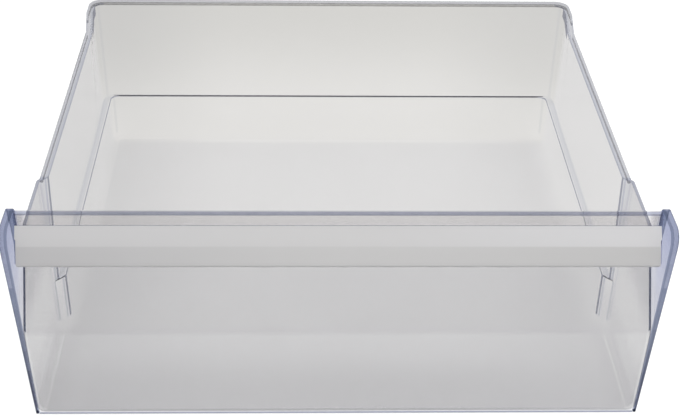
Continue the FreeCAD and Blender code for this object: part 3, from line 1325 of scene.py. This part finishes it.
@dataclass
class StripSkin:
    """Convex handle strip that lies on the lip. Sizes in millimetres."""

    finish: FrostedPlastic
    panel: PanelSkin
    hook: float = 3.0
    nose_round: float = 1.4
    end_clearance: float = 0.3
    notch_height: float = 12.6
    notch_depth: float = 0.8
    end_round: float = 0.35
    root_round: float = 0.4
    nose_mark: float = 0.9
    nose_bands: int = 6
    arc_steps: int = 10
    columns: int = 12

    def build(self) -> bpy.types.Object:
        """Builds the strip.

        Returns:
            The finished object.
        """
        skin = Skin("handle_strip_skin")
        outer, inner = self._faces()
        outline = [*outer, *reversed(inner)]
        shares = [2 * column / self.columns - 1 for column in range(self.columns + 1)]
        rows = [self._row(skin, outline, share, self.end_round) for share in shares]
        small = inset(outline, self.end_round)
        ends = [self._row(skin, small, share, 0.0) for share in (-1.0, 1.0)]
        rows = [ends[0], *rows, ends[1]]
        count = len(outer)
        nose = count - 1 - self.nose_bands
        # The nose, the hook's tip and the top edge carry painted dark lines of shadow.
        marks = [0.0] * nose + [self.nose_mark] * self.nose_bands + [LINE]
        marks += [0.0] * (len(inner) - 1) + [LINE]
        for left, right in zip(rows, rows[1:]):
            skin.band(left, right, marks, closed=True)
        for row in ends:
            skin.band(row[:count], row[:count - 1:-1])
        return skin.finish(self.finish.material(), Slot.STRIP, Node.STRIP)

    def _faces(self) -> tuple[list[Vector], list[Vector]]:
        """Draws the side view of the strip's outer and inner face.

        Returns:
            The points of each as (y, z), from the top to the end of the hook.
        """
        given = self.panel.section
        thickness, clearance = given.strip_thickness, given.seat_clearance
        top, middle, edge = given.lip(0.0)
        along = (edge - top).normalized()
        outwards = Vector((along.y, -along.x))
        low = edge + along * (clearance + thickness)
        hook = low - outwards * (thickness + self.hook)
        outer = rounded([(*(top + along * clearance), 0.0), (*middle, given.bulge_radius),
                         (*low, self.nose_round), (*hook, 0.0)], steps=self.arc_steps)
        top, middle, edge = given.lip(thickness)
        inner = rounded([(*(top + along * clearance), 0.0), (*middle, given.bulge_radius),
                         (*(edge + along * clearance), self.root_round),
                         (*(hook - along * thickness), 0.0)], steps=self.arc_steps)
        return outer, inner

    def _row(self, skin: Skin, outline: Sequence[Vector], share: float,
             back: float) -> list[Vertex]:
        """Adds one row across the strip.

        Args:
            skin: The strip's skin.
            outline: The row's side view.
            share: Where it lies, from -1 at the left end to 1 at the right end.
            back: How far it is kept from the end.

        Returns:
            The row's vertices.
        """
        notch = self.panel.section.lip(0.0)[2].y + self.notch_height
        points = []
        for y, z in outline:
            half = self.panel.inner_half(z) - self.end_clearance - back
            half -= self.notch_depth if z < notch else 0.0
            points.append((share * half, y, z))
        return skin.row(points)


@dataclass
class FreezerDrawer:
    """The whole drawer.

    Attributes:
        bin_finish: Plastic of the bin.
        panel_finish: Plastic of the front panel.
        strip_finish: Plastic of the handle strip.
        section: Side view that the panel, the strip and the bin's front end share.
    """

    bin_finish: ClearPlastic
    panel_finish: ClearPlastic
    strip_finish: FrostedPlastic
    section: PanelSection = field(default_factory=PanelSection)

    def build(self) -> list[bpy.types.Object]:
        """Builds the drawer's pieces in order.

        Returns:
            The pieces.
        """
        panel = PanelSkin(self.panel_finish, self.section)
        return [
            BinSkin(self.bin_finish, self.section).build(),
            panel.build(),
            StripSkin(self.strip_finish, panel).build(),
        ]


@dataclass
class PhotoCamera:
    """Camera at the photograph's angle.

    Attributes:
        place: Where it stands.
        pitch_degrees: How far it looks down.
        yaw_degrees: How far it is turned towards +X.
        roll_degrees: How far it is tilted about its own axis.
        focal_px: Focal length in pixels.
        image_width_px: Width of the photograph.
        sensor_width_mm: Width of the camera's sensor.
        clip: Nearest and farthest distance that it sees.
    """

    place: Place = (-0.025481, -0.971344, 0.650426)
    pitch_degrees: float = 32.1503
    yaw_degrees: float = 1.84997
    roll_degrees: float = -1.04465
    focal_px: float = 1375.143
    image_width_px: int = 680
    sensor_width_mm: float = 36.0
    clip: tuple[float, float] = (0.05, 50.0)

    def build(self) -> bpy.types.Object:
        """Adds the camera to the scene.

        Returns:
            The camera object.
        """
        pitch, yaw, roll = (math.radians(angle) for angle in
                            (self.pitch_degrees, self.yaw_degrees, self.roll_degrees))
        ahead = Vector((math.sin(yaw) * math.cos(pitch), math.cos(yaw) * math.cos(pitch),
                        -math.sin(pitch)))
        level_right = Vector((math.cos(yaw), -math.sin(yaw), 0.0))
        level_down = ahead.cross(level_right)
        right = level_right * math.cos(roll) + level_down * math.sin(roll)
        up = level_right * math.sin(roll) - level_down * math.cos(roll)
        turned = Matrix((right, up, -ahead)).transposed().to_4x4()
        data = bpy.data.cameras.new("photo_camera")
        data.sensor_fit = "HORIZONTAL"
        data.sensor_width = self.sensor_width_mm
        data.lens = self.focal_px / self.image_width_px * self.sensor_width_mm
        data.clip_start, data.clip_end = self.clip
        data.dof.use_dof = False
        camera = bpy.data.objects.new("photo_camera", data)
        camera.matrix_world = Matrix.Translation(self.place) @ turned
        bpy.context.scene.collection.objects.link(camera)
        bpy.context.scene.camera = camera
        LOG.info("camera: lens %.2f mm", data.lens)
        return camera


@dataclass
class Studio:
    """Pale floor, white surroundings and soft lamps.

    Attributes:
        floor_size: Side of the square floor.
        floor_colour: Its colour.
        floor_drop: How far it lies below the drawer.
        sky_level: Strength of the light from all round.
        lamps: Each lamp's place, size in metres and power in watts.
        aim: Where the lamps point.
    """

    floor_size: float = 12.0
    floor_colour: Colour = (0.93, 0.93, 0.93)
    floor_drop: float = 0.0004
    sky_level: float = 0.95
    lamps: tuple[tuple[Place, float, float], ...] = (
        ((-0.9, -0.5, 1.7), 0.9, 6.0),
        ((1.1, -0.2, 1.6), 0.9, 10.0),
    )
    aim: Place = (0.0, 0.0, 0.07)

    def build(self) -> None:
        """Builds the floor, the surroundings and the lamps."""
        self._build_floor()
        self._build_sky()
        for place, size, power in self.lamps:
            self._build_lamp(Vector(place), size, power)
        bpy.context.scene.view_settings.view_transform = "Standard"
        LOG.info("studio: %d lamps", len(self.lamps))

    def _build_floor(self) -> None:
        """Adds the level floor just under the drawer."""
        mesh = bpy.data.meshes.new("studio_floor")
        shape = bmesh.new()
        bmesh.ops.create_grid(shape, x_segments=1, y_segments=1, size=self.floor_size / 2)
        bmesh.ops.translate(shape, verts=shape.verts, vec=(0.0, 0.0, -self.floor_drop))
        shape.to_mesh(mesh)
        shape.free()
        material = bpy.data.materials.new("studio_floor")
        material.use_nodes = True
        shader = material.node_tree.nodes["Principled BSDF"]
        shader.inputs["Base Color"].default_value = rgba(self.floor_colour)
        shader.inputs["Roughness"].default_value = 1.0
        shader.inputs["Specular IOR Level"].default_value = 0.0
        mesh.materials.append(material)
        floor = bpy.data.objects.new("studio_floor", mesh)
        bpy.context.scene.collection.objects.link(floor)

    def _build_sky(self) -> None:
        """Makes the surroundings white where they are seen, and a plain level as light."""
        world = bpy.data.worlds.new("studio")
        bpy.context.scene.world = world
        world.use_nodes = True
        graph = NodeGraph(world.node_tree)
        light = world.node_tree.nodes["Background"]
        path = graph.add("ShaderNodeLightPath")
        seen = graph.math("ADD", path.outputs["Is Camera Ray"], path.outputs["Is Glossy Ray"])
        seen = graph.math("ADD", seen, path.outputs["Is Transmission Ray"])
        seen = graph.math("MINIMUM", seen, 1.0)
        level = graph.math("MULTIPLY", seen, 1.0 - self.sky_level)
        graph.set(light.inputs["Strength"], graph.math("ADD", level, self.sky_level))
        light.inputs["Color"].default_value = rgba(WHITE)

    def _build_lamp(self, place: Vector, size: float, power: float) -> None:
        """Adds a square lamp that points at the drawer.

        Args:
            place: Where it hangs.
            size: Its side.
            power: Its power in watts.
        """
        data = bpy.data.lights.new("soft_lamp", "AREA")
        data.shape = "SQUARE"
        data.size = size
        data.energy = power
        lamp = bpy.data.objects.new("soft_lamp", data)
        lamp.location = place
        lamp.rotation_euler = (Vector(self.aim) - place).to_track_quat("-Z", "Y").to_euler()
        bpy.context.scene.collection.objects.link(lamp)


def bin_plastic() -> ClearPlastic:
    """Makes the bin's plastic, with painted light and shade on floor, rear wall and front
    stretch.

    Returns:
        The finish.
    """
    rear = Span(Axis.DEPTH, 0.176, 0.184)
    upwards = Span(Axis.HEIGHT, -0.05, 0.13)
    front = Span(Axis.DEPTH, -0.103, -0.107)
    nearer = Span(Axis.DEPTH, -0.115, -0.135)
    left = Span(Axis.ACROSS, -0.08, -0.205)
    right = Span(Axis.ACROSS, 0.08, 0.205)
    floor_top = (Span(Axis.HEIGHT, 0.00252, 0.00246), Span(Axis.HEIGHT, 0.0022, 0.0023))
    floor_edge = (Span(Axis.HEIGHT, 0.0026, 0.0032), Span(Axis.HEIGHT, 0.009, 0.007))
    return ClearPlastic(
        "clear_bin", tint=(0.625, 0.62, 0.62),
        # Painted light and shade: lighter on the right, the rear wall lighter towards its foot
        # and darker up its corners, the floor's top lighter with darker corners at the front,
        # the front stretch shaded by height.
        shading_zones=(
            ShadingZone((0.635, 0.63, 0.63), (Span(Axis.ACROSS, 0.185, 0.2),)),
            ShadingZone((0.615, 0.61, 0.612), (front, Span(Axis.HEIGHT, 0.006, 0.009))),
            ShadingZone((0.655, 0.65, 0.65), (front, Span(Axis.HEIGHT, 0.02, 0.04))),
            ShadingZone((0.54, 0.535, 0.54), (nearer, *floor_edge)),
            ShadingZone((0.55, 0.545, 0.555), (front, Span(Axis.HEIGHT, 0.06, 0.09))),
            ShadingZone((0.59, 0.583, 0.565), (rear,)),
            ShadingZone((0.675, 0.667, 0.653), (rear, Span(Axis.HEIGHT, 0.125, 0.03))),
            ShadingZone((0.54, 0.535, 0.525), (rear, upwards, left)),
            ShadingZone((0.56, 0.555, 0.543), (rear, upwards, right)),
            ShadingZone((0.69, 0.685, 0.685), floor_top),
            ShadingZone((0.575, 0.57, 0.575), (*floor_top, left)),
            ShadingZone((0.63, 0.625, 0.63), (*floor_top, right)),
            ShadingZone((0.53, 0.525, 0.53), (*floor_top, nearer, Span(Axis.ACROSS, -0.19, -0.207))),
            ShadingZone((0.565, 0.56, 0.565), (*floor_top, nearer, Span(Axis.ACROSS, 0.19, 0.207))),
        ),
        edge_tint=(0.3, 0.32, 0.4), line_shade=(0.16, 0.17, 0.23))


def panel_plastic() -> ClearPlastic:
    """Makes the front panel's plastic, with painted light and shade at foot, bend, top and
    ends.

    Returns:
        The finish.
    """
    above = Span(Axis.HEIGHT, 0.109, 0.114)
    below = Span(Axis.HEIGHT, 0.125, 0.1)
    bend = (Span(Axis.HEIGHT, 0.070, 0.0725), Span(Axis.HEIGHT, 0.0765, 0.0745))
    return ClearPlastic(
        "clear_panel", tint=(0.82, 0.82, 0.83),
        # Painted light and shade: lighter below the bend with a darker line along it, darker
        # towards the foot, lighter at the top, darker at both ends.
        shading_zones=(
            ShadingZone((0.848, 0.848, 0.86), (Span(Axis.HEIGHT, 0.0735, 0.0725),)),
            ShadingZone((0.79, 0.79, 0.805), (Span(Axis.HEIGHT, 0.06, 0.005),)),
            ShadingZone((0.74, 0.74, 0.755), (Span(Axis.HEIGHT, 0.003, 0.002),)),
            ShadingZone((0.795, 0.795, 0.808), bend),
            *both_ends((0.6, 0.595, 0.61), 0.2152, 0.2158, below),
            ShadingZone((0.9, 0.895, 0.895), (above,)),
            *both_ends((0.65, 0.645, 0.66), 0.208, 0.216, above),
        ),
        edge_tint=(0.36, 0.385, 0.52), line_shade=(0.08, 0.1, 0.17),
        black_line_shade=(0.015, 0.018, 0.04))


def strip_plastic() -> FrostedPlastic:
    """Makes the handle strip's plastic, with painted light at its top and painted shade at its
    ends.

    Returns:
        The finish.
    """
    upper = Span(Axis.HEIGHT, 0.1352, 0.1362)
    left = Span(Axis.ACROSS, 0.0, -0.26)
    return FrostedPlastic(
        "frosted_strip", tint=(0.498, 0.493, 0.493), line_shade=(0.38, 0.38, 0.385),
        # Painted light and shade: lighter along the top, most on the right, and darker towards
        # the ends, most at the left.
        shading_zones=(
            ShadingZone((0.425, 0.42, 0.428), (left,)),
            ShadingZone((0.465, 0.46, 0.46), (Span(Axis.ACROSS, 0.05, 0.26),)),
            ShadingZone((0.534, 0.529, 0.531), (upper,)),
            ShadingZone((0.488, 0.483, 0.49), (upper, left)),
            ShadingZone((0.56, 0.556, 0.565), (upper, Span(Axis.ACROSS, 0.0, 0.18))),
        ))


def main() -> None:
    """Builds the drawer, its studio and the camera."""
    logging.basicConfig(level=logging.INFO, format="%(name)s %(message)s")
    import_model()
    FreezerDrawer(bin_plastic(), panel_plastic(), strip_plastic()).build()
    Studio().build()
    PhotoCamera().build()


if __name__ == "__main__":
    main()
